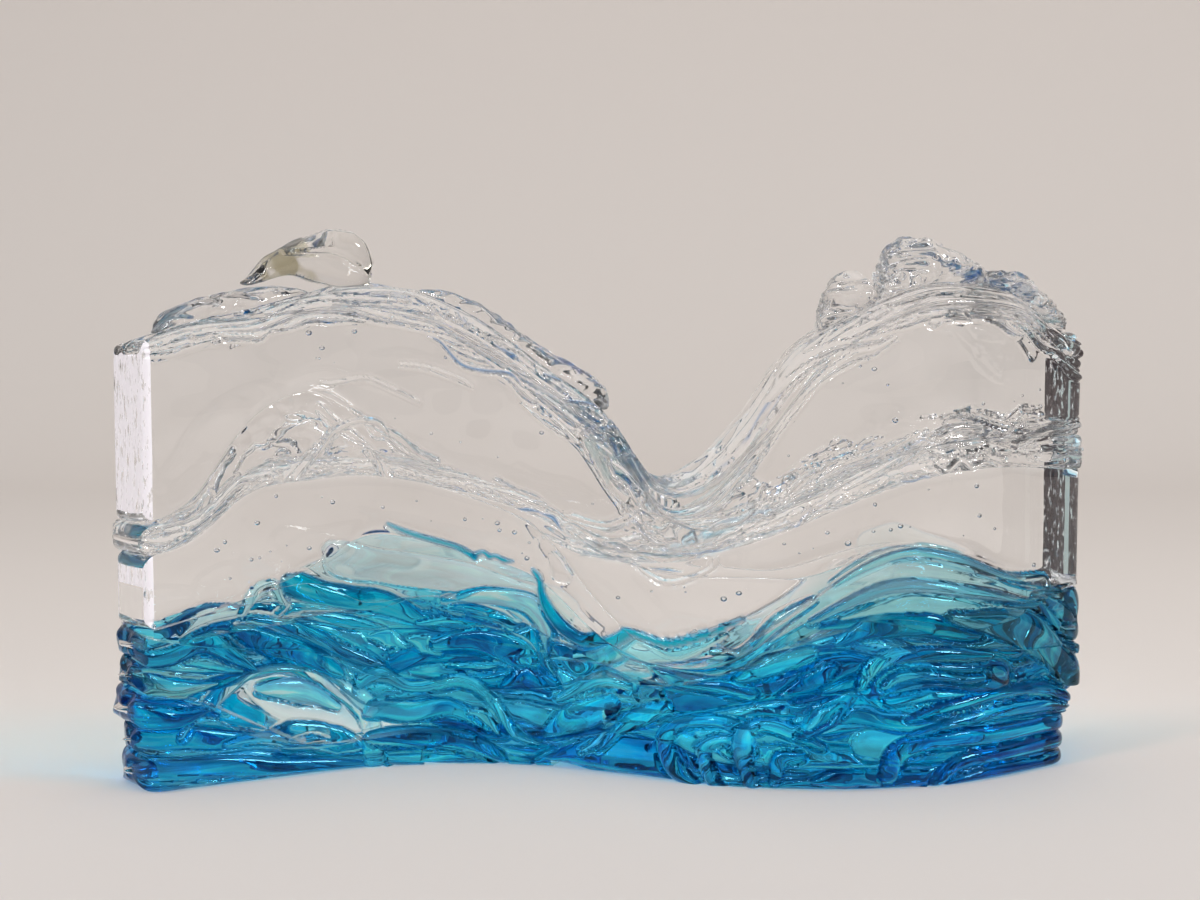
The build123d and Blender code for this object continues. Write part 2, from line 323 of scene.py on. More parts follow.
def skin(s, z, h, height, look, seed):
    """How far a fold's skin stands out from the mould's face, its tint, how blue it is, and
    its flow: grooved at its edges, then parted in strands, lumped, swayed and wisped."""
    edge = np.minimum(h, 1 - h) * height
    round_over = np.clip(np.minimum(look["edge"], height / 2), 0.2, None)
    groove = np.minimum(look["groove"] * (1 + 0.45 * soft_noise(s / 23, z / 9, 5)), round_over)
    shape = -groove * (1 - np.sqrt(1 - (1 - np.clip(edge / round_over, 0, 1)) ** 2))
    tint = np.ones((len(s), 3))
    if look["strands"]:
        count = look["strands"]
        fade = ease(edge / STRAND_FADE)
        level = h * count + fade * 0.45 * soft_noise(s / 17, h * count / 1.7, seed)
        strand = np.floor(level)
        across = level - strand
        strand_height = height / count
        bow = 1 - np.sqrt(np.clip(1 - np.abs(2 * across - 1) ** 2.4, 0, 1))
        depth = np.minimum(look["strand_depth"], 0.5 * strand_height)
        depth = depth * (0.7 + 0.5 * soft_noise(s / 31 + strand * 7.3, strand * 3.1, seed + 1))
        lift = 0.35 * depth * soft_noise(s / 14 + strand * 11.7, strand * 5.7, seed + 2)
        shape += fade * (lift - depth * bow)
        shade = 1 + look["streaks"] * soft_noise(s / 37 + strand * 3.3, strand * 2.9, seed + 3)
        # Painted shade darkens the creases between strands
        shade *= 1 - 0.25 * look["veil"] * ease((np.abs(2 * across - 1) - 0.8) / 0.2)
        tint *= np.clip(shade, 0.2, 1.3)[:, None]
    # Painted shade along the fold's top and foot edges, where it meets the next fold
    tint *= 1 - look["veil"] * ease(1 - edge / EDGE_LINE)[:, None] * EDGE_SHADE
    if look["lumps"]:
        warp = 6 * soft_noise(s / 15, z / 15, seed + 4)
        size = look["lump_size"]
        shape += look["lumps"] * soft_noise((s + warp) / size, (z - warp) / (0.6 * size), seed + 5)
    if look["sway"]:
        shape += look["sway"] * soft_noise(s / 38, z / 27, 11)
        shape += 0.3 * look["sway"] * soft_noise(s / 17, z / 12, 12)
    tone = soft_noise(s / 26, z / 8, 21) + 0.4 * soft_noise(s / 9, z / 4, 22)
    tint *= 1 - look["veil"] * ease((-tone - 0.20) / 0.3)[:, None] * WISP_INK
    veil = look["veil"] * (1 - 0.7 * ease((tone - 0.30) / 0.25))
    flow = np.stack([s + seed * 13.0, h * np.maximum(height, 1) + seed * 3.0], 1)
    return shape, tint, veil, flow


def rounded(distance, radius):
    """How far a corner of this radius has drawn back, at this distance from the edge."""
    part = np.clip(distance / np.maximum(radius, 1e-6), 0, 1)
    return radius * (1 - np.sqrt(1 - (1 - part) ** 2))


# A fold's skin in mm, where its section says nothing else. Its nose is the rounding of an
# end seen from the front, and nose_plan the same seen from above. Its mesh has a row and
# a column each so many mm. The chill is the film on an end, chill_from its lower limit
# and chill_gap the part of the end, from the front, that stays bare
PLAIN_SKIN = dict(
    edge=6.0, groove=1.7, strands=0, strand_depth=0.7, streaks=0.0, lumps=0.0, lump_size=9.0,
    sway=0.0, crest=0.0, veil=0.0, nose=0.42, nose_wide=1.0, nose_plan=0.0, nose_reach=0.0,
    nose_most=99, nose_dome=0.8, nose_lump=0.0, row=0.85, column=1.0, across=5,
    chill=0.0, chill_from=0.0, chill_gap=(1, 1))
NOSE_SHARE = 0.42
NOSE_COLUMNS = 9
FEWEST_ROWS, MOST_ROWS, MANY_ROWS = 8, 130, 40
ROW_CROWDING = (0.11, 0.03)
MOST_INSET = 0.48
CHILL_LUMP = 0.12
LEAST_HALF = 2.5
SHARP_FROM = 52

# The kinds of face that a fold's mesh has
ON_FACE, ON_SEAM, ON_FILM, ON_CUT, ON_CHILL = range(5)


def fold_piece(name, seed, **changes):
    """A fold's mesh: two faces from the mould, rounded ends and a fused top and foot."""
    look = dict(PLAIN_SKIN, **changes)
    there = np.where(~np.isnan(HIGH[name]))[0]
    first, last = WAVE_X[there[0]], WAVE_X[there[-1]]
    low_line, high_line = LOW[name][there], HIGH[name][there]
    line_x = WAVE_X[there]
    left, right = ENDS[name]
    heights = high_line - low_line
    start = s_at(first) if left is None else -left - look["nose_reach"]
    end = s_at(last) if right is None else LENGTH + right + look["nose_reach"]
    nose_left, nose_right = (
        0 if reach is None else min(look["nose"] * height, THICK * NOSE_SHARE, look["nose_most"])
        for reach, height in ((left, heights[0]), (right, heights[-1])))
    turn = 1 - np.cos(np.linspace(0, np.pi / 2, NOSE_COLUMNS))[:-1]
    columns = np.concatenate([
        start + nose_left * turn if nose_left else [],
        np.linspace(start + nose_left, end - nose_right,
                    max(int((end - nose_right - start - nose_left) / look["column"]), 6)),
        (end - nose_right * turn)[::-1] if nose_right else []])
    rows = int(np.clip(np.nanmax(heights) / look["row"], FEWEST_ROWS, MOST_ROWS))
    even = np.linspace(0, 1, rows + 1)
    levels = even - ROW_CROWDING[rows >= MANY_ROWS] * np.sin(2 * np.pi * even)
    across = look["across"]
    sides = np.linspace(1, -1, across + 1)
    half = WIDTHS[name] / 2

    def place(s, h, side, face):
        """World place, fused share, and the tint, blueness and flow of points of the skin."""
        inset, plan = np.zeros(len(s)), np.zeros(len(s))
        for nose, from_end in ((nose_left, s - start), (nose_right, end - s)):
            if nose:
                inset = np.maximum(inset, rounded(from_end, nose))
                plan = np.maximum(plan, rounded(from_end, look["nose_plan"]))
        x_middle = np.clip(on_line(s, LINE_X), first, last)
        sky_here = np.interp(x_middle, WAVE_X, SKY)
        low_z = np.interp(x_middle, line_x, low_line)
        high_z = np.interp(x_middle, line_x, high_line)
        inset_up = np.minimum(inset, (high_z - low_z) * MOST_INSET)
        z_middle = low_z + inset_up + h * (high_z - low_z - 2 * inset_up)
        top_round = rounded(sky_here - z_middle, SKYLINE_ROUND)
        foot_round = rounded(z_middle, FOOT_ROUND)
        shape, tint, veil, flow = skin(s, z_middle, h, high_z - low_z, look,
                                       seed + (0 if face >= 0 else 50))
        if face:
            shape, tint, veil, flow = trails_over(face, s, z_middle, shape, tint, veil, flow)
        fade = 1 - ease(inset / max(nose_left, nose_right, 1) * 1.3)
        drawn_in = np.minimum(plan + inset * look["nose_wide"] + np.maximum(top_round, foot_round),
                              half - LEAST_HALF)
        out = side * (half - drawn_in + shape * (0.25 + 0.75 * fade))
        lumpy = look["nose_lump"] * ease(inset / 2.5)
        x, y = wall_point(s + lumpy * soft_noise(z_middle / 6, side * 2.2, seed + 31),
                          out + lumpy * soft_noise(z_middle / 5, side * 1.3 + s / 7, seed + 32))
        x_clip = np.clip(x, first, last)
        low_z = np.interp(x_clip, line_x, low_line)
        high_z = np.interp(x_clip, line_x, high_line)
        z = low_z + inset_up + h * (high_z - low_z - 2 * inset_up)
        closed_over = np.interp(x_clip, WAVE_X, CLOSED_OVER[name])
        if look["crest"]:
            flat = 1 - side ** 4
            lump = look["crest"] * soft_noise(s / 13, side * 2.2 + s / 40, seed + 8) * flat
            in_rope = (side * 1.6 + 0.5 * soft_noise(s / 21, 3, seed + 9)) % 1
            ropes = 1 - np.sqrt(np.clip(1 - np.abs(2 * in_rope - 1) ** 2.2, 0, 1))
            z += np.where((closed_over < 0.5) & (h > 0.999),
                          lump - 0.5 * look["crest"] * ropes * flat, 0)
        joined = np.where(h > 0.5, closed_over, np.interp(x_clip, WAVE_X, CLOSED_UNDER[name]))
        fused = joined * (1 - ease((inset - 0.15) / 0.3)) if face == 0 else np.zeros(len(s))
        points = np.stack([x, y, np.maximum(z, FLOOR_GAP)], 1) * MM
        return points, fused, np.column_stack([tint, veil, flow])

    per_ring = 2 * (rows + 1) + 2 * (across - 1)
    on_face, no_face = np.ones(rows + 1), np.zeros(across - 1)
    ring_h = np.concatenate([levels, np.ones(across - 1), levels[::-1], no_face])
    ring_side = np.concatenate([on_face, sides[1:-1], -on_face, sides[::-1][1:-1]])
    ring_face = np.concatenate([on_face, no_face, -on_face, no_face])
    count = len(columns)
    s_all, h_all = np.repeat(columns, per_ring), np.tile(ring_h, count)
    side_all, face_all = np.tile(ring_side, count), np.tile(ring_face, count)
    total = len(s_all)
    points, fused, tint = np.zeros((total, 3)), np.zeros(total), np.ones((total, 6))
    for face in (1, 0, -1):
        pick = face_all == face
        points[pick], fused[pick], tint[pick] = place(s_all[pick], h_all[pick], side_all[pick],
                                                      face)
    ring = np.arange(per_ring)
    after = (ring + 1) % per_ring
    base = (np.arange(count - 1) * per_ring)[:, None]
    next_base = base + per_ring
    quads = np.stack([base + ring, base + after, next_base + after, next_base + ring], -1)
    quads = quads.reshape(-1, 4)
    zones = np.where((ring < rows) | ((ring > rows + across - 1) & (ring < 2 * rows + across)),
                     ON_FACE, ON_SEAM)
    zones = np.tile(zones, (count - 1, 1))
    if look["chill"]:
        from_left = columns - start if nose_left else np.full(count, np.inf)
        from_right = end - columns if nose_right else np.full(count, np.inf)
        from_end = np.minimum(from_left, from_right)
        on_end = (from_end[:-1] + from_end[1:]) / 2 < look["chill"]
        zones[on_end] = np.where(zones[on_end] == ON_FACE, ON_CHILL, ON_SEAM)
    zones = zones.reshape(-1)
    all_points, all_fused, all_tint = [points], [fused], [tint]
    all_quads, all_zones = [quads], [zones]
    for column, nose, way in ((0, nose_left, -1), (count - 1, nose_right, 1)):
        grid = np.zeros((rows + 1, across + 1), int)
        first_ring = column * per_ring
        grid[:, 0] = first_ring + np.arange(rows + 1)
        grid[rows, 1:-1] = first_ring + rows + 1 + np.arange(across - 1)
        grid[:, -1] = first_ring + rows + across + np.arange(rows + 1)[::-1]
        grid[0, 1:-1] = first_ring + 2 * (rows + 1) + (across - 1) + np.arange(across - 1)[::-1]
        inner = np.arange((rows - 1) * (across - 1)).reshape(rows - 1, across - 1) + total
        grid[1:-1, 1:-1] = inner
        part = (sides[0] - sides[1:-1]) / 2
        near, far = points[grid[1:-1, 0]], points[grid[1:-1, -1]]
        fill = near[:, None] * (1 - part)[None, :, None] + far[:, None] * part[None, :, None]
        fill_z = fill[:, :, 2] / MM
        dome = (1 - (2 * levels[1:-1, None] - 1) ** 2) * (1 - (2 * part[None] - 1) ** 2)
        s_end = start if way < 0 else end
        tx, ty = -on_line(s_end, FRONT_Y) * way, on_line(s_end, FRONT_X) * way
        bulge = (look["nose_dome"] if nose else 0.0) * dome * MM
        bulge += look["nose_lump"] * dome * soft_noise(fill_z / 5, part[None] * 4, seed + 33) * MM
        if look["chill"] and nose:
            bulge = CHILL_LUMP * MM * soft_noise(fill_z / 7, part[None] * 20, seed + 20)
        fill[:, :, 0] += tx * bulge
        fill[:, :, 1] += ty * bulge
        fill = fill.reshape(-1, 3)
        all_points.append(fill)
        all_fused.append(np.zeros(inner.size))
        all_tint.append(np.column_stack([
            np.ones((inner.size, 3)), np.full(inner.size, look["veil"]), fill[:, 1:] / MM]))
        total += inner.size
        cap = np.stack([grid[:-1, :-1], grid[:-1, 1:], grid[1:, 1:], grid[1:, :-1]], -1)
        cap = cap.reshape(-1, 4)
        all_quads.append(cap if way > 0 else cap[:, ::-1])
        filmed = np.repeat(points[grid[:-1, 0], 2] / MM > look["chill_from"], across)
        bare_from, bare_to = look["chill_gap"]
        from_front = np.tile((np.arange(across) + 0.5) / across, rows)
        filmed &= (from_front < bare_from) | (from_front > bare_to)
        all_zones.append(np.where(filmed, ON_FILM, ON_FACE) if nose else np.full(len(cap), ON_CUT))
    return finish_mesh(name, np.vstack(all_points), np.vstack(all_quads), np.concatenate(all_zones),
                       np.vstack(all_tint), np.concatenate(all_fused))


def finish_mesh(name, points, quads, zones, tint, fused):
    """The fold's mesh object, with its tint and flow, and where it is fused or chilled."""
    fused = np.where(zones == ON_SEAM, fused[quads].mean(1), zones == ON_CUT)
    a, b, c, d = (points[quads[:, k]] for k in range(4))
    volume = (np.cross(b, c) * a).sum() + (np.cross(c, d) * a).sum()
    if volume < 0:
        quads = quads[:, ::-1]
    mesh = bpy.data.meshes.new(name + "_glass")
    mesh.from_pydata(points.tolist(), [], quads.tolist())
    mesh.update()
    tints = mesh.attributes.new("tint", "FLOAT_COLOR", "POINT")
    tints.data.foreach_set("color", np.clip(tint[:, :4], 0, 1).ravel().astype(np.float32))
    flows = mesh.attributes.new("flow", "FLOAT_VECTOR", "POINT")
    flow = np.column_stack([tint[:, 4:6], np.zeros(len(tint))])
    flows.data.foreach_set("vector", flow.ravel().astype(np.float32))
    for attribute, values in (("fused", fused), ("chill", np.isin(zones, (ON_FILM, ON_CHILL)))):
        mesh.attributes.new(attribute, "FLOAT", "FACE").data.foreach_set(
            "value", values.astype(np.float32))
    mesh.polygons.foreach_set("use_smooth", np.ones(len(mesh.polygons), bool))
    mesh.set_sharp_from_angle(angle=math.radians(SHARP_FROM))
    return new_object(name + "_glass", mesh)


def new_object(name, data):
    made = bpy.data.objects.new(name, data)
    bpy.context.scene.collection.objects.link(made)
    return made


def fill_sockets(node, sockets):
    """Gives each socket of a shader node its number, colour or link."""
    for socket, value in sockets.items():
        if isinstance(value, bpy.types.NodeSocket):
            node.id_data.links.new(value, node.inputs[socket])
        else:
            node.inputs[socket].default_value = value


def node_adder(tree):
    """A function that adds a shader node to this tree, sets it and fills its sockets."""
    def add(kind, sockets=(), **settings):
        node = tree.nodes.new("ShaderNode" + kind)
        for setting, value in settings.items():
            setattr(node, setting, value)
        fill_sockets(node, dict(sockets))
        return node
    return add


def fill_ramp(ramp, steps):
    while len(ramp.elements) < len(steps):
        ramp.elements.new(0.5)
    for element, (where, shade) in zip(ramp.elements, steps):
        element.position, element.color = where, (*shade, 1)


GLASS_BEND = 1.5
STREAK_STRETCH = (0.017, 0.22, 1.0)
FILM_CREASES = (300, 300, 80)
FILM_DEPTH = 0.0006
FILM_ROUGH = 0.35


def glass(name, colour, density, film=None, streaks=None, gleam=(1, 1, 1)):
    """Cast glass: a clear skin, a coloured body with streaks along its flow, no skin where
    folds are fused, and a film of this colour, share, grain and bare range on chilled ends."""
    material = bpy.data.materials.new(name)
    material.use_nodes = True
    material.node_tree.nodes.clear()
    add = node_adder(material.node_tree)

    def read(attribute):
        return add("Attribute", attribute_name=attribute).outputs

    def blend(factor, a, b, mode="MIX"):
        return add("Mix", {"Factor": factor, "A": a, "B": b},
                   data_type="RGBA", blend_type=mode).outputs["Result"]

    def maths(operation, a, b):
        return add("Math", {0: a, 1: b}, operation=operation).outputs["Value"]

    def noise(place, stretch, **looks):
        stretched = add("Mapping", {"Vector": place, "Scale": stretch}).outputs["Vector"]
        return add("TexNoise", {"Vector": stretched, "Scale": 1.0, **looks}).outputs["Fac"]

    glass_skin = add("BsdfPrincipled", {"IOR": GLASS_BEND, "Roughness": 0.0,
                                        "Transmission Weight": 1.0, "Specular Tint": (*gleam, 1)})
    tint = read("tint")
    body_colour = tint["Color"]
    if streaks:
        along = noise(read("flow")["Vector"], STREAK_STRETCH,
                      Detail=4.0, Roughness=0.6, Distortion=0.7)
        ramp = add("ValToRGB", {"Fac": along})
        fill_ramp(ramp.color_ramp, streaks)
        blued = blend(tint["Alpha"], (1, 1, 1, 1), ramp.outputs["Color"])
        body_colour = blend(1.0, blued, tint["Color"], "MULTIPLY")
    if film:
        film_or_shade_colour, film_share, film_grain, film_bare = film
        place, chill = add("TexCoord").outputs["Object"], read("chill")["Fac"]
        patches = add("MapRange", {"Value": noise(place, film_grain, Detail=6.0),
                                   "From Min": film_bare[0], "From Max": film_bare[1],
                                   "To Max": film_share})
        filmed = maths("MULTIPLY", patches.outputs["Result"], chill)
        # On chilled ends the film's colour: frost on the left ends, painted shade on the right ends
        body_colour = blend(filmed, body_colour, (*film_or_shade_colour, 1))
        creases = add("Bump", {"Distance": FILM_DEPTH, "Strength": chill,
                               "Height": noise(place, FILM_CREASES, Detail=4.0)})
        fill_sockets(glass_skin, {"Transmission Weight": maths("SUBTRACT", 1.0, filmed),
                                  "Roughness": maths("MULTIPLY", filmed, FILM_ROUGH),
                                  "Normal": creases.outputs["Normal"]})
    fill_sockets(glass_skin, {"Base Color": body_colour})
    open_share = maths("MAXIMUM", read("fused")["Fac"], add("LightPath").outputs["Is Shadow Ray"])
    surface = add("MixShader", {"Fac": open_share, 1: glass_skin.outputs["BSDF"],
                                2: add("BsdfTransparent").outputs["BSDF"]})
    body = add("VolumeAbsorption", {"Color": (*colour, 1.0), "Density": density})
    add("OutputMaterial", {"Surface": surface.outputs["Shader"], "Volume": body.outputs["Volume"]})
    return material


def dress(piece, node, material):
    piece.data.materials.append(material)
    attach(piece, "root")
    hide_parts(node)


# The glasses, each with its slot and the colour of its body, and how densely a fold has it
BLUE = ("blue_glass", (0.0, 0.89, 0.985))
DEEP_BAND = ("blue_glass", (0.0, 0.80, 0.965))
DEEP_BLUE = ("deep_blue_glass", (0.0, 0.80, 0.965))
TEAL = ("teal_glass", (0.05, 0.68, 0.76))
TURQUOISE = ("turquoise_glass", (0.10, 0.84, 0.92))
PALE = ("turquoise_glass", (0.40, 0.88, 0.93))
PALE_CLEAR = ("clear_glass", (0.40, 0.88, 0.93))
BLUE_FOLDS = {
    "base_fold_left": (*DEEP_BLUE, 56), "base_fold_right": (*DEEP_BLUE, 60),
    "base_fold_middle": (*BLUE, 58), "smooth_band": (*DEEP_BAND, 56), "big_loop_left": (*BLUE, 54),
    "left_fold_two": (*DEEP_BLUE, 52), "left_fold_three": (*DEEP_BLUE, 52),
    "clear_window": (*PALE_CLEAR, 9), "left_fold_four": (*TEAL, 38), "right_fold_two": (*BLUE, 60),
    "big_loop_right": (*BLUE, 60), "middle_fold_two": (*BLUE, 54), "arch_trail": (*BLUE, 44),
    "leaf_fold": (*BLUE, 48), "right_fold_three": (*BLUE, 58), "middle_fold_three": (*BLUE, 54),
    "swirl_fold": (*BLUE, 56), "eye_fold": (*DEEP_BLUE, 50), "wave_body_left": (*BLUE, 54),
    "rounded_fold": (*BLUE, 44), "teal_trail": (*TEAL, 40), "right_top_nose": (*TEAL, 32),
    "pale_veil_left": (*PALE, 12), "veil_curl_left": (*TURQUOISE, 18),
    "turquoise_left": (*PALE, 12), "turquoise_right": (*TURQUOISE, 30),
    "veil_crest_right": (*TURQUOISE, 13),
}
PALE_FOLDS = ("pale_veil_left", "veil_curl_left", "turquoise_left", "veil_crest_right",
              "clear_window", "turquoise_right")
NAVY, DARK, MID = (0, 0.30, 0.58), (0.08, 0.54, 0.76), (0.5, 0.88, 0.96)
LIGHT, WHITE = (0.92, 1, 1), (1, 1, 1)
BLUE_GLEAM = (0.25, 0.75, 1.0)
STREAKS = ((0.37, (0.0, 0.07, 0.25)), (0.45, (0.0, 0.28, 0.58)), (0.51, (0.0, 0.60, 0.90)),
           (0.56, (0.06, 0.93, 1.0)), (0.62, (0.85, 1.0, 1.0)))
BROAD_FOLDS = [name for name in BLUE_FOLDS
               if "right" in name or name in ("swirl_fold", "rounded_fold")]
DEEP_TRAILS = dict(bulge=(0.7, 2.1), tints=(DARK, MID, LIGHT, LIGHT, NAVY),
                   veils=(1.0, 1.0, 0.8, 0.5, 1.0), groove=1.0)
PALE_TRAILS = dict(bulge=(0.1, 0.4), tints=(LIGHT, WHITE, MID), veils=(0.25, 0.1, 0.4), groove=0.25)
# The face that one strewn trail has to itself, in mm2: less on the dark narrow folds
BROAD_ROOM, NARROW_ROOM = 420, 330
for seed, name in enumerate(BLUE_FOLDS):
    heights = (HIGH[name] - LOW[name])[~np.isnan(HIGH[name])]
    pale, broad = name in PALE_FOLDS, name in BROAD_FOLDS
    count = int(len(heights) * heights.mean() / (BROAD_ROOM if pale or broad else NARROW_ROOM))
    for face in (1, -1):
        strew_trails(face, LOW[name], HIGH[name], count, 3000 + seed * 5 + face, (25, 85),
                     (3.0, 7.5) if broad else (2.0, 6.0), **(PALE_TRAILS if pale else DEEP_TRAILS))

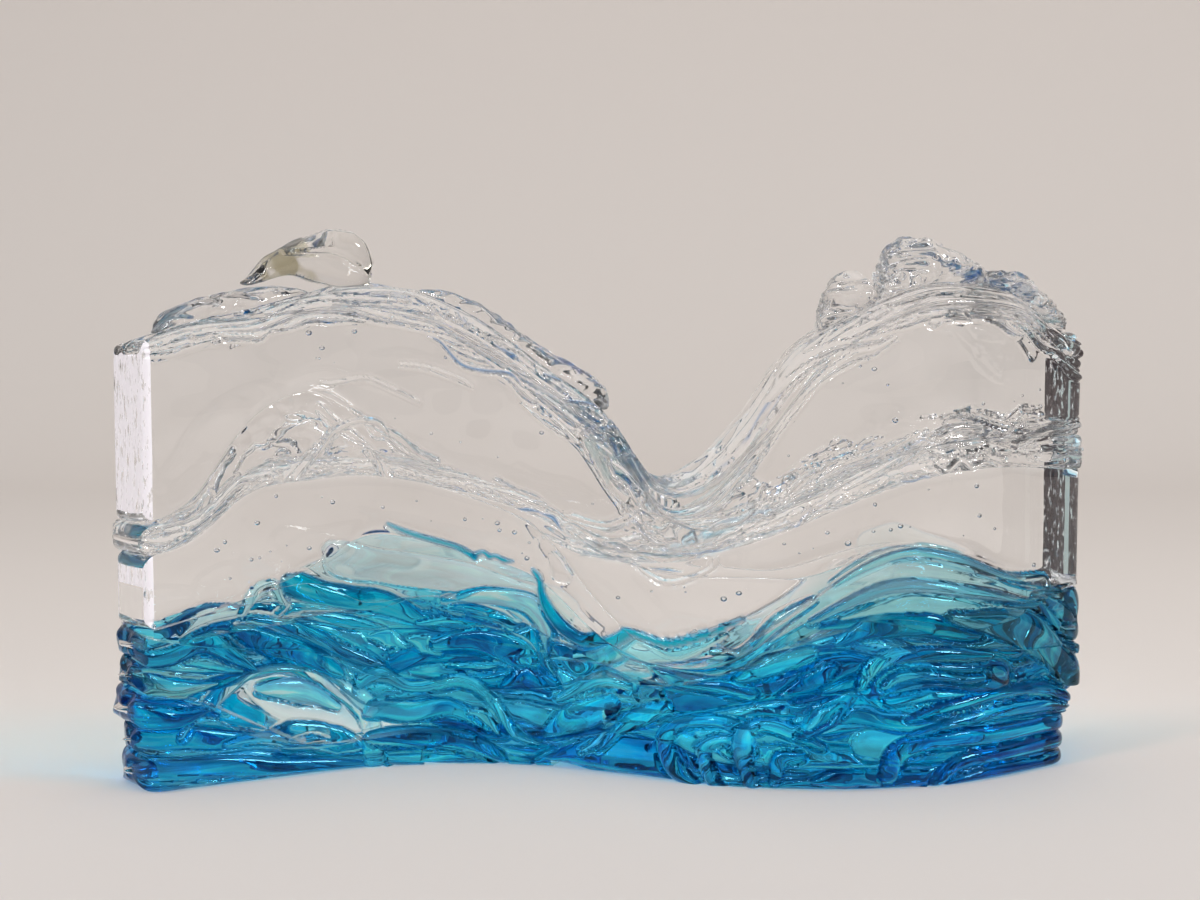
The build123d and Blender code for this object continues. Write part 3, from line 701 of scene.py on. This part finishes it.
# The trails that stand out on the front, from the foot up: path of (x, z), half widths,
# bulge, tint and how blue
FRONT_TRAILS = (
    (((-190, 10), (-163, 8), (-131, 5), (-99, 3)), (5, 4.5, 3), 0.8, MID, 0.9),
    (((-160, 31), (-140, 33), (-118, 27), (-104, 20)), (3, 11, 10, 4), 0.2, WHITE, 0.05),
    (((-147, 38), (-130, 36), (-114, 31)), (1.5, 5, 2.5), 1.0, MID, 0.9),
    (((-160, 17), (-134, 19), (-113, 14), (-103, 10)), (1.5, 6.5, 6, 2), 0.8, LIGHT, 0.55),
    (((-153, 15), (-146, 15), (-139, 14)), (0.8, 1.4, 0.8), 0.5, WHITE, 0.0),
    (((-134, 18), (-126, 17), (-120, 15)), (0.8, 2.0, 0.8), 0.5, WHITE, 0.0),
    (((-178, 22), (-169, 34), (-156, 40), (-146, 45), (-130, 44), (-114, 39), (-104, 32),
      (-98, 22), (-96, 3)),
     (1.5, 2, 2, 2.5, 3, 4, 5, 5, 5), 1.5, LIGHT, 0.6),
    (((-196, 31), (-188, 31), (-178, 30), (-168, 34)), (5, 5, 4, 1), 1.0, MID, 1.0),
    (((-196, 44), (-188, 44), (-176, 42), (-164, 42)), (5, 5, 4, 1), 1.2, LIGHT, 0.9),
    (((-196, 56), (-182, 58), (-169, 60), (-157, 53), (-149, 47)),
     (5.5, 5.5, 4.5, 3, 1), 1.6, DARK, 0.9),
    (((-172, 63), (-162, 65), (-154, 61)), (1, 2.5, 1), 1.0, NAVY, 1.0),
    (((-156, 62), (-142, 57), (-130, 53), (-113, 45)), (2, 6, 6.5, 2), 1.2, DARK, 1.0),
    (((-160, 68), (-135, 62), (-110, 52), (-92, 42)), (1, 3, 3, 2), 1.2, LIGHT, 0.9),
    (((-192, 62), (-178, 66), (-166, 69), (-152, 69)), (4, 4, 3.5, 2), 0.8, LIGHT, 0.3),
    (((-153, 68), (-148, 75), (-141, 77), (-135, 72), (-139, 67)),
     (1.5, 2.5, 2.5, 2, 1), 0.9, LIGHT, 0.4),
    (((-116, 88), (-84, 83), (-49, 77), (-21, 68)), (5, 7, 6, 3), 0.4, WHITE, 0.12),
    (((-134, 78), (-112, 74), (-89, 68), (-66, 59)), (3.5, 5.5, 5, 2), 1.2, DARK, 1.0),
    (((-128, 66), (-108, 63), (-90, 58)), (1, 2.5, 1), 0.8, LIGHT, 0.5),
    (((-98, 56), (-89, 54), (-81, 50)), (1.2, 4, 1.2), 0.3, WHITE, 0.0),
    (((-79, 53), (-71, 51), (-64, 47)), (1.2, 4, 1.2), 0.3, WHITE, 0.0),
    (((-75, 60), (-60, 60), (-40, 56), (-24, 48)), (1, 2.5, 3, 2), 1.0, LIGHT, 0.8),
    (((-66, 51), (-45, 52), (-28, 47), (-22, 44)), (3, 5, 5.5, 5), 1.6, MID, 0.95),
    (((-62, 69), (-44, 70), (-25, 66), (-16, 58), (-12, 50), (-4, 36)),
     (1.5, 3.5, 4, 4, 3.5, 1.5), 1.0, LIGHT, 0.8),
    (((-33, 34), (-23, 37), (-13, 34)), (2, 4.5, 2), 0.4, NAVY, 1.0),
    (((-99, 27), (-80, 23), (-60, 24), (-40, 16)), (3, 4.5, 4, 2), 1.2, LIGHT, 0.9),
    (((-98, 13), (-75, 12), (-50, 9), (-34, 2)), (3, 5, 4.5, 2), 1.2, MID, 0.9),
    (((-50, 22), (-42, 20), (-36, 14)), (1, 3, 1), 0.6, WHITE, 0.2),
    (((-104, 40), (-92, 39), (-80, 34), (-65, 34), (-55, 35), (-45, 32), (-37, 25), (-28, 14),
      (-17, 10)),
     (3, 3, 2.6, 2.6, 2.8, 2.8, 2.6, 2.2, 1.2), 1.9, LIGHT, 0.65),
    (((-18, 1), (1, 8), (17, 8), (36, 6)), (2, 6.5, 7.5, 6), 1.0, DARK, 0.9),
    (((-8, 41), (-3, 38), (2, 34)), (1.2, 3.2, 1.4), 0.2, LIGHT, 0.25),
    (((-14, 15), (-1, 24), (14, 29)), (2, 6, 3.5), 1.0, MID, 0.9),
    (((-8, 31), (5, 38), (20, 36)), (1.5, 3, 1.5), 1.2, LIGHT, 0.3),
    (((9, 10), (19, 22), (28, 28), (35, 32)), (1, 4.5, 4, 1.5), 1.2, MID, 0.9),
    (((2, 9), (8, 13), (12, 18)), (0.8, 2, 0.8), 0.4, WHITE, 0.1),
    (((30, 44), (45, 44), (60, 40)), (2, 4, 3), 1.0, MID, 0.9),
    (((42, 0), (35, 6), (33, 15), (38, 24), (47, 28), (56, 24), (61, 14)),
     (3.5, 4, 4, 4, 4, 3.5, 2), 1.8, MID, 0.9),
    (((51, -1), (47, 6), (46, 13), (50, 18), (56, 18)), (2.5, 3, 3, 3, 1.5), 1.3, LIGHT, 0.8),
    (((61, 2), (58, 12), (59, 21), (66, 26), (75, 23), (83, 18)),
     (2.5, 3.5, 3.8, 3.8, 3.5, 1.5), 1.7, LIGHT, 0.85),
    (((68, 4), (70, 12), (76, 14)), (2, 3, 2), 1.0, DARK, 1.0),
    (((58, 47), (67, 53), (78, 56)), (3, 5.5, 4), 1.6, MID, 0.9),
    (((70, 39), (79, 44), (86, 50)), (1.5, 4.5, 2), 0.3, NAVY, 1.0),
    (((76, 22), (84, 31), (93, 39)), (1.5, 5.5, 2), 1.0, DARK, 1.0),
    (((79, 26), (84, 31), (89, 35)), (0.8, 2.6, 0.8), 0.3, LIGHT, 0.2),
    (((146, 43), (124, 44), (106, 43)), (7, 10.5, 10.5), 1.0, MID, 0.9),
    (((142, 53), (127, 56), (110, 55), (100, 50), (96, 42)), (2, 3, 3.2, 3.2, 2), 1.6, LIGHT, 0.8),
    (((140, 45), (124, 47), (110, 46), (104, 42)), (1.5, 2.5, 2.8, 1.5), 1.3, LIGHT, 0.6),
    (((138, 37), (122, 38), (106, 36)), (1.5, 2.6, 2.5), 1.3, MID, 0.9),
    (((192, 3), (169, 2), (145, 3), (128, 0)), (3.5, 3.5, 3.5, 2), 1.0, DARK, 1.0),
    (((192, 10), (169, 11), (149, 11), (132, 9), (124, 2)), (3.5, 3.8, 3.8, 3.5, 3), 1.4, MID, 1.0),
    (((192, 18), (163, 19), (140, 19), (120, 19), (109, 15), (106, 6)),
     (3.5, 4, 4, 4.2, 4.2, 3.5), 1.6, MID, 0.95),
    (((192, 26), (154, 28), (132, 26), (113, 22)), (3.5, 3.5, 3, 1), 1.3, LIGHT, 0.9),
    (((188, 27), (168, 35), (149, 36), (128, 33), (112, 29)), (2, 3.5, 3, 2.5, 1), 1.3, MID, 1.0),
    (((88, 60), (101, 66), (119, 67), (139, 61)), (1.5, 5, 5, 1.5), 0.8, DARK, 1.0),
    (((90, 71), (110, 75), (130, 74), (146, 69)), (1.5, 3.5, 3.5, 1.5), 0.3, WHITE, 0.15),
    (((30, 49), (45, 53), (58, 60), (69, 72), (80, 80)),
     (1.5, 2.5, 2.5, 2.5, 1.5), 1.2, LIGHT, 0.8),
    (((80, 71), (95, 78), (108, 82), (127, 81), (148, 76), (166, 68)),
     (1.5, 2.6, 2.8, 2.8, 2.6, 1.5), 1.2, LIGHT, 0.75),
    (((86, 86), (101, 94), (115, 95), (141, 89), (164, 80)),
     (1, 2.4, 2.4, 2.4, 1.5), 1.0, LIGHT, 0.5),
    (((128, 70), (148, 64), (168, 54), (182, 42), (196, 32)),
     (2, 6, 7, 7, 6), 2.0, (0.55, 0.68, 0.72), 0.55),
    (((150, 72), (166, 66), (180, 56), (192, 46)), (1, 2, 2, 1.5), 1.6, DARK, 0.7),
    (((164, 74), (176, 72), (187, 69), (193, 62), (190, 55), (180, 56)),
     (2, 4, 5, 5, 4, 2), 1.5, LIGHT, 0.7),
    (((-89, 102), (-76, 97), (-56, 91), (-47, 86)),
     (0.7, 1.2, 1.2, 1.5), 0.5, (0.02, 0.38, 0.62), 1.0),
    (((-47, 87), (-43, 88), (-40, 86), (-37, 86), (-33, 84), (-29, 83)),
     (1.2, 0.9, 1.2, 0.9, 1.1, 0.5), 0.5, NAVY, 1.0),
    (((-9, 47), (0, 44), (12, 45), (25, 49), (38, 55), (52, 66)),
     (1.5, 3, 3.2, 3.2, 3, 1.5), 0.6, (0.3, 0.9, 0.98), 0.9),
    (((-20, 77), (-17, 72), (-16, 66), (-13, 60), (-8, 54), (-2, 50), (4, 48), (13, 49), (23, 53),
      (34, 57), (45, 64), (58, 72)),
     (0.7, 1.3, 1.7, 2.2, 2.2, 2.0, 1.8, 1.8, 1.8, 1.8, 1.6, 0.8), 0.4, NAVY, 1.0),
    (((87, 85), (99, 91), (113, 95), (130, 93), (149, 87), (169, 83), (172, 76)),
     (0.8, 1.6, 1.8, 1.8, 1.8, 2.2, 1.5), 0.8, (0.45, 0.8, 0.88), 0.8))
for trail in FRONT_TRAILS:
    lay_trail(1, *trail)

for seed, (name, (slot, colour, density)) in enumerate(BLUE_FOLDS.items()):
    piece = fold_piece(name, 100 + seed * 7, strands=2 if name == "turquoise_right" else 1,
                       veil=0.25 if name in PALE_FOLDS else 0.9, streaks=0.2, lumps=0.3,
                       nose=(0.40, 0.47, 0.43)[seed % 3], nose_plan=(12, 15, 10, 14)[seed % 4],
                       nose_wide=0.4, nose_dome=2.4, nose_lump=1.5, nose_reach=2.5,
                       row=0.5, column=0.7, across=9)
    melt = glass(name + "_melt", colour, density, streaks=STREAKS, gleam=BLUE_GLEAM)
    dress(piece, name, melt)

# -------------------------------------------------- the lower clear pours
# Three thick pours of clear glass over the blue: a left and a right one, and a pool
# in the valley between them, with flat skins from the mould and chilled ends.
CLEAR = (0.8, 0.93, 0.95)
CLEAR_DENSITY = 0.7
PALE_FILM = ((0.97, 0.94, 0.99), 0.97, (520, 520, 170), (0.30, 0.46))
# Painted shade: the same frost as the pale film, painted near black on the right ends, which face
# away from the lamps
SHADED_FILM = ((0.05, 0.035, 0.035), 1.0, (430, 430, 260), (0.32, 0.44))
RIGHT_END = dict(film=SHADED_FILM, chill_gap=(0.34, 0.46))
# Painted refraction: thin dark blue lines in the clear glass, standing in for the blue glass seen
# through it
PAINTED_REFRACTION_BLUE = (0.10, 0.28, 0.66)
BUBBLE_ROOM = 14
BUBBLE_EDGE = 6


def blow_bubbles(piece, name, count, seed, sizes):
    """Round bubbles of air inside a fold: small spheres whose skin faces inwards."""
    chance = np.random.default_rng(seed)
    there = np.where(HIGH[name] - LOW[name] > BUBBLE_ROOM)[0][BUBBLE_ROOM:-BUBBLE_ROOM]
    mesh = bmesh.new()
    mesh.from_mesh(piece.data)
    fused, chill = mesh.faces.layers.float["fused"], mesh.faces.layers.float["chill"]
    tint = mesh.verts.layers.float_color["tint"]
    for _ in range(count):
        i = chance.choice(there)
        level = 0.5 + 0.5 * chance.uniform(0, 1) ** 0.5 * chance.choice((-1, 1))
        room = HIGH[name][i] - LOW[name][i] - 2 * BUBBLE_EDGE
        x, y = wall_point(s_at(WAVE_X[i]), chance.uniform(-11, 12))
        spot = Vector((x, y, LOW[name][i] + BUBBLE_EDGE + room * level)) * MM
        bubble = bmesh.ops.create_icosphere(mesh, subdivisions=2,
                                            radius=chance.uniform(*sizes) ** 2 * MM)
        stretch = chance.uniform(1, 1.5)
        for vert in bubble["verts"]:
            vert.co.x *= stretch
            vert.co += spot
            vert[tint] = (1, 1, 1, 0)
        faces = {face for vert in bubble["verts"] for face in vert.link_faces}
        for face in faces:
            face[fused], face[chill], face.smooth = 0.0, 0.0, True
        bmesh.ops.reverse_faces(mesh, faces=list(faces))
    mesh.to_mesh(piece.data)
    mesh.free()


def clear_piece(name, seed, bubbles=None, film=None, **look):
    piece = fold_piece(name, seed, **look)
    if bubbles:
        blow_bubbles(piece, name, *bubbles)
    dress(piece, name, glass(name + "_melt", CLEAR, CLEAR_DENSITY, film))


POOL_TRAILS = (
    (((22, 88), (27, 95), (36, 98), (47, 98), (49, 92), (43, 85), (34, 81), (26, 83), (22, 88)),
     (1.2, 1.2, 1.0), 0.7, WHITE),
    (((28, 86), (34, 87), (39, 87)), (0.3, 0.8, 0.3), 0.5, PAINTED_REFRACTION_BLUE),
    (((-17, 87), (-2, 83), (16, 87), (23, 90)), (0.6, 0.9, 0.6), 0.4, WHITE),
    (((-10, 77), (-8, 72), (-3, 68)), (1.5, 3.5, 1.0), 1.0, WHITE),
    (((-2, 88), (4, 92), (2, 97), (-5, 98)), (1.0, 2.0, 1.0), 0.8, WHITE))
for trail in POOL_TRAILS:
    lay_trail(1, *trail, 0.0, 0.8)
SMOOTH_SKIN = dict(edge=5.0, groove=0.5, sway=0.4, nose_most=4.5, chill=3.0)
LEFT_END = dict(film=PALE_FILM, chill_from=82)
for seed, (name, count, end) in enumerate((
        ("lower_clear_left", 24, LEFT_END), ("valley_pool", 7, LEFT_END),
        ("lower_clear_right", 16, RIGHT_END))):
    clear_piece(name, 400 + seed * 9, (count, 430 + seed, (0.5, 1.08)), nose=0.16,
                row=0.9, column=0.9, across=12, **SMOOTH_SKIN, **end)

# -------------------------------------------------- the wrinkled clear trails
# Thin clear trails and a small wave, laid on the lower pours before the upper ones
# went in, and wrinkled where they chilled on the mould.
for seed, (name, ropes, threads, over) in enumerate((
        ("middle_trail_left", 46, 12, 1), ("middle_trail_right", 46, 12, 8),
        ("inner_wave", 6, 0, 1))):
    for face in (1, -1):
        low, high = LOW[name] - 1, HIGH[name] + over
        strew_trails(face, low, high, ropes, 4000 + seed * 5 + face, (10, 55),
                     (0.7, 2.4), (0.4, 1.7), (WHITE,), (0,), 0.9)
        # Threads of painted refraction: thin blue lines in the clear trails
        strew_trails(face, low, high, threads, 4050 + seed * 5 + face, (6, 22),
                     (0.25, 0.6), (0.2, 0.7), (PAINTED_REFRACTION_BLUE,), (0,), 0.6)
WRINKLE_TRAILS = (
    (((-182, 94), (-162, 102), (-147, 109), (-138, 119), (-128, 128), (-116, 140)),
     (1.6, 2.4, 2.6, 2.6, 2.0, 1.0), 1.4, WHITE),
    (((-140, 112), (-130, 124), (-122, 132), (-114, 142), (-104, 147), (-94, 146), (-89, 141)),
     (1.4, 1.8, 1.6, 1.6, 1.4, 1.2, 0.8), 1.2, WHITE),
    (((-98, 134), (-91, 124), (-87, 121)), (1.2, 3.0, 1.5), 1.6, WHITE),
    (((-28, 105), (-22, 104), (-15, 101)), (0.3, 1.0, 0.4), 0.6, PAINTED_REFRACTION_BLUE),
    (((-16, 101), (-10, 98), (-6, 93)), (0.4, 1.1, 0.4), 0.6, PAINTED_REFRACTION_BLUE))
for trail in WRINKLE_TRAILS:
    lay_trail(1, *trail, 0.0, 0.9)
WRINKLED_SKIN = dict(edge=3.0, groove=1.2, strand_depth=1.2, lumps=0.6, row=0.5, column=0.7)
for seed, name in enumerate(("middle_trail_left", "middle_trail_right")):
    clear_piece(name, 500 + seed * 9, strands=3, lump_size=7.0, **WRINKLED_SKIN)
clear_piece("inner_wave", 518, edge=5.0, groove=0.5, lumps=0.25, lump_size=7.0, row=0.5, column=0.7)

# -------------------------------------------------- the upper clear pours
# The two thick pours that make the slopes of the wave, and the thin ropy trails
# that run down both slopes into the valley.
ROPES_LOW = SKY - 17 + 8 * ease((-85 - WAVE_X) / 45)
for face in (1, -1):
    strew_trails(face, ROPES_LOW, SKY, 52, 4100 + face, (14, 60),
                 (0.8, 3.0), (0.4, 1.9), (WHITE,), (0,), 1.0)
    # Threads of painted refraction: thin blue lines among the ropes
    strew_trails(face, ROPES_LOW + 2, SKY - 2, 24, 4120 + face, (6, 26),
                 (0.25, 0.65), (0.2, 0.7), (PAINTED_REFRACTION_BLUE,), (0,), 0.6)
    strew_trails(face, ROPES_LOW + 4, SKY - 1, 12, 4110 + face, (70, 130),
                 (1.8, 3.2), (1.2, 2.2), (WHITE,), (0,), 1.2)
SLOPE_TRAILS = (
    (((-120, 162), (-101, 164), (-87, 159), (-73, 152)), (0.5, 0.8, 0.5), WHITE),
    (((-82, 168), (-70, 166), (-54, 160), (-48, 156)), (0.6, 1.1, 0.7), WHITE),
    (((-69, 179), (-63, 176), (-53, 166), (-42, 162), (-30, 159), (-24, 153)),
     (0.3, 0.7, 0.9, 0.9, 0.8, 0.3), PAINTED_REFRACTION_BLUE),
    (((-38, 172), (-28, 166)), (0.4, 1.2), PAINTED_REFRACTION_BLUE),
    (((-15, 158), (-9, 156)), (0.7, 0.9), PAINTED_REFRACTION_BLUE),
    (((-5, 146), (5, 142), (11, 137), (15, 130)), (0.4, 1.1, 1.2, 0.4), PAINTED_REFRACTION_BLUE),
    (((3, 131), (11, 127), (16, 123)), (0.3, 0.8, 0.5), PAINTED_REFRACTION_BLUE),
    (((13, 120), (16, 113)), (0.5, 0.9), PAINTED_REFRACTION_BLUE),
    (((25, 125), (27, 131), (31, 135)), (0.6, 1.3, 0.6), PAINTED_REFRACTION_BLUE),
    (((30, 123), (41, 134), (50, 148), (59, 162), (70, 171), (85, 178), (101, 180)),
     (1, 2.2, 2.2, 2, 2, 1.8, 1), WHITE),
    (((46, 144), (55, 158), (66, 166), (81, 174)), (0.8, 1.8, 1.8, 0.8), WHITE))
for path, half, tint in SLOPE_TRAILS:
    lay_trail(1, path, half, 1.0, tint, 0.0, 0.9)
for seed, (name, end) in enumerate((
        ("upper_clear_left", dict(film=PALE_FILM)), ("upper_clear_right", RIGHT_END))):
    clear_piece(name, 600 + seed * 9, (20, 630 + seed, (0.5, 1.1)), nose=0.12,
                row=0.75, column=0.8, across=14, crest=1.8, **SMOOTH_SKIN, **end)
for seed, name in enumerate(("left_slope_trail", "right_slope_trail")):
    clear_piece(name, 650 + seed * 9, strands=2, across=20, crest=2.2, **WRINKLED_SKIN)

# -------------------------------------------------- the crest trails
# Clear trails and lumps laid last along the top of the wall: a lump and a curled
# tongue on the left, a rounded trail, and a block, a peak and a tip on the right.
CREST_CLEAR = glass("crest_melt", CLEAR, CLEAR_DENSITY)
CURL_CLEAR = glass("curl_melt", (0.80, 0.77, 0.66), 5.0)
MELT_GRAIN = 0.8
MELT_SOFTENING = 14
CALM_TRAILS = ("crest_lump_left", "rounded_trail")
CURL_CREASES = [np.array(crease, float) for crease in (
    ((-119, 221), (-109, 224), (-98, 223), (-90, 217), (-88, 209), (-91, 202)),
    ((-127, 214), (-117, 213), (-109, 213), (-103, 211), (-97, 207)))]
CREASE_DEPTH, CREASE_HALF = 1.8, 2.2
SMOKE = np.array((0.45, 0.48, 0.62))


def melted(name):
    """The trail's own solid, melted to a soft lump of even grain."""
    piece = new_object(name + "_glass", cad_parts[name].data.copy())
    remesh = piece.modifiers.new("melt", "REMESH")
    remesh.mode = "VOXEL"
    remesh.voxel_size = MELT_GRAIN * MM
    piece.modifiers.new("soften", "SMOOTH").iterations = MELT_SOFTENING
    graph = bpy.context.evaluated_depsgraph_get()
    mesh = bpy.data.meshes.new_from_object(piece.evaluated_get(graph))
    piece.modifiers.clear()
    piece.data = mesh
    return piece, mesh


def read_vertices(mesh, what):
    values = np.zeros(len(mesh.vertices) * 3)
    mesh.vertices.foreach_get(what, values)
    return values.reshape(-1, 3)


for seed, name in enumerate(TRAILS_ON_TOP):
    piece, mesh = melted(name)
    co, normal = read_vertices(mesh, "co"), read_vertices(mesh, "normal")
    x, y, z = co.T / MM
    shade = np.ones((len(co), 4))
    if name == "curl":
        push = 0.5 * soft_noise(x / 9, z / 7 + y / 9, 700)
        for line in CURL_CREASES:
            steps = np.vstack([a + (b - a) * t for a, b in zip(line, line[1:])
                               for t in np.linspace(0, 1, 6)])
            gap = np.sqrt((x[:, None] - steps[:, 0]) ** 2 + (z[:, None] - steps[:, 1]) ** 2).min(1)
            push -= CREASE_DEPTH * ease(1 - gap / CREASE_HALF)
    else:
        ropes = 0.5 - np.abs(soft_noise(x / 13, z / 4.5 + y / 7, 700 + seed))
        creases = 0.5 - np.abs(soft_noise(x / 6, z / 3 - y / 5, 720 + seed))
        push = (0.45 if name in CALM_TRAILS else 1.0) * (2.4 * ropes + 1.2 * creases - 0.6)
    sky = np.interp(x, WAVE_X, SKY)
    co += normal * (push * ease((z - sky) / 2.0) * MM)[:, None]
    mesh.vertices.foreach_set("co", co.ravel())
    mesh.update()
    if name == "curl":
        smoke = ease((-108 - x) / 9) * ease(0.5 + 2.5 * soft_noise(x / 5 + z / 7, z / 6, 741))
        shade[:, :3] = 1 - smoke[:, None] * SMOKE
    tint = mesh.attributes.new("tint", "FLOAT_COLOR", "POINT")
    tint.data.foreach_set("color", shade.ravel().astype(np.float32))
    mesh.attributes.new("chill", "FLOAT", "FACE")
    middles = np.array([co[list(p.vertices)].mean(0) / MM for p in mesh.polygons])
    below = middles[:, 2] < np.interp(middles[:, 0], WAVE_X, SKY) + 0.5
    fused = mesh.attributes.new("fused", "FLOAT", "FACE")
    fused.data.foreach_set("value", below.astype(np.float32))
    mesh.polygons.foreach_set("use_smooth", np.ones(len(mesh.polygons), bool))
    mesh.materials.clear()
    dress(piece, name, CURL_CLEAR if name == "curl" else CREST_CLEAR)

# -------------------------------------------------- the table and backdrop
# A sheet of warm pale paper, that runs flat under the glass and sweeps up behind.
PAPER_FRONT, PAPER_BEND, PAPER_TOP, PAPER_HALF = -2.2, 1.05, 2.4, 2.6
PAPER_SWEEP = 0.5
TABLE_TURN = math.radians(-9.2)
profile = [(PAPER_FRONT, 0.0), (PAPER_BEND, 0.0)]
profile += [(PAPER_BEND + PAPER_SWEEP * math.sin(a), PAPER_SWEEP - PAPER_SWEEP * math.cos(a))
            for a in np.linspace(0.08, math.pi / 2, 14)]
profile += [(PAPER_BEND + PAPER_SWEEP, PAPER_TOP)]
paper = bpy.data.meshes.new("paper")
paper.from_pydata([(x, y, z) for y, z in profile for x in (-PAPER_HALF, PAPER_HALF)], [],
                  [(2 * i, 2 * i + 1, 2 * i + 3, 2 * i + 2) for i in range(len(profile) - 1)])
paper.polygons.foreach_set("use_smooth", np.ones(len(paper.polygons), bool))
backdrop = new_object("paper", paper)
backdrop.rotation_euler = (0, 0, TABLE_TURN)
sheet = bpy.data.materials.new("paper_white")
sheet.use_nodes = True
add = node_adder(sheet.node_tree)
# Painted shade: the paper is darker towards the front, away from the backdrop
away = add("SeparateXYZ", {"Vector": add("TexCoord").outputs["Object"]}).outputs["Y"]
tone = add("MapRange", {"Value": away, "From Min": -0.5, "From Max": 0.6},
           interpolation_type="SMOOTHSTEP").outputs["Result"]
PAPER_NEAR_SHADED, PAPER_FAR = (0.655, 0.615, 0.59, 1), (0.80, 0.745, 0.70, 1)
paper_shade = add("Mix", {"Factor": tone, "A": PAPER_NEAR_SHADED, "B": PAPER_FAR},
                  data_type="RGBA").outputs["Result"]
fill_sockets(sheet.node_tree.nodes["Principled BSDF"],
             {"Base Color": paper_shade, "Roughness": 0.9})
paper.materials.append(sheet)

# -------------------------------------------------- light and camera
ROOM_SHADES = ((0.0, (0.10, 0.11, 0.13)), (0.22, (0.20, 0.21, 0.24)), (0.75, (1.0, 0.99, 0.98)))
world = bpy.data.worlds.new("room")
bpy.context.scene.world = world
world.use_nodes = True
add = node_adder(world.node_tree)
height = add("SeparateXYZ", {"Vector": add("TexCoord").outputs["Generated"]}).outputs["Z"]
room = add("ValToRGB", {"Fac": height})
fill_ramp(room.color_ramp, ROOM_SHADES)
fill_sockets(world.node_tree.nodes["Background"],
             {"Color": room.outputs["Color"], "Strength": 0.56})


def window(name, place, aim, size, power, colour):
    lamp = bpy.data.lights.new(name, "AREA")
    lamp.shape, lamp.size, lamp.size_y = "RECTANGLE", *size
    lamp.energy, lamp.color = power, colour
    holder = new_object(name, lamp)
    holder.location = place
    holder.rotation_euler = (Vector(aim) - Vector(place)).to_track_quat("-Z", "Y").to_euler()


window("window_left", (-1.5, -1.1, 1.3), (0, 0, 0.1), (0.3, 0.8), 15, (1.0, 0.98, 0.98))
window("window_right", (1.6, -1.15, 0.95), (0, 0, 0.08), (0.5, 0.4), 18, (1.0, 0.99, 0.99))
window("window_slit", (-0.9, -1.9, 1.5), (0, 0, 0.08), (0.9, 0.1), 12, (1.0, 0.99, 1.0))
window("window_over", (0.3, -0.1, 1.9), (0, 0.2, 0), (1.6, 1.2), 2.5, (1.0, 0.97, 0.95))

lens = bpy.data.cameras.new("camera")
lens.lens = 73.8
lens.shift_x = -2 / 1200
camera = new_object("camera", lens)
camera.location = (-0.1599, -0.9871, 0.229)
camera.rotation_euler = (math.radians(84.5), 0, TABLE_TURN)
bpy.context.scene.camera = camera

scene = bpy.context.scene
scene.view_settings.view_transform = "Standard"
scene.cycles.max_bounces = 24
scene.cycles.transmission_bounces = 24
scene.cycles.transparent_max_bounces = 64
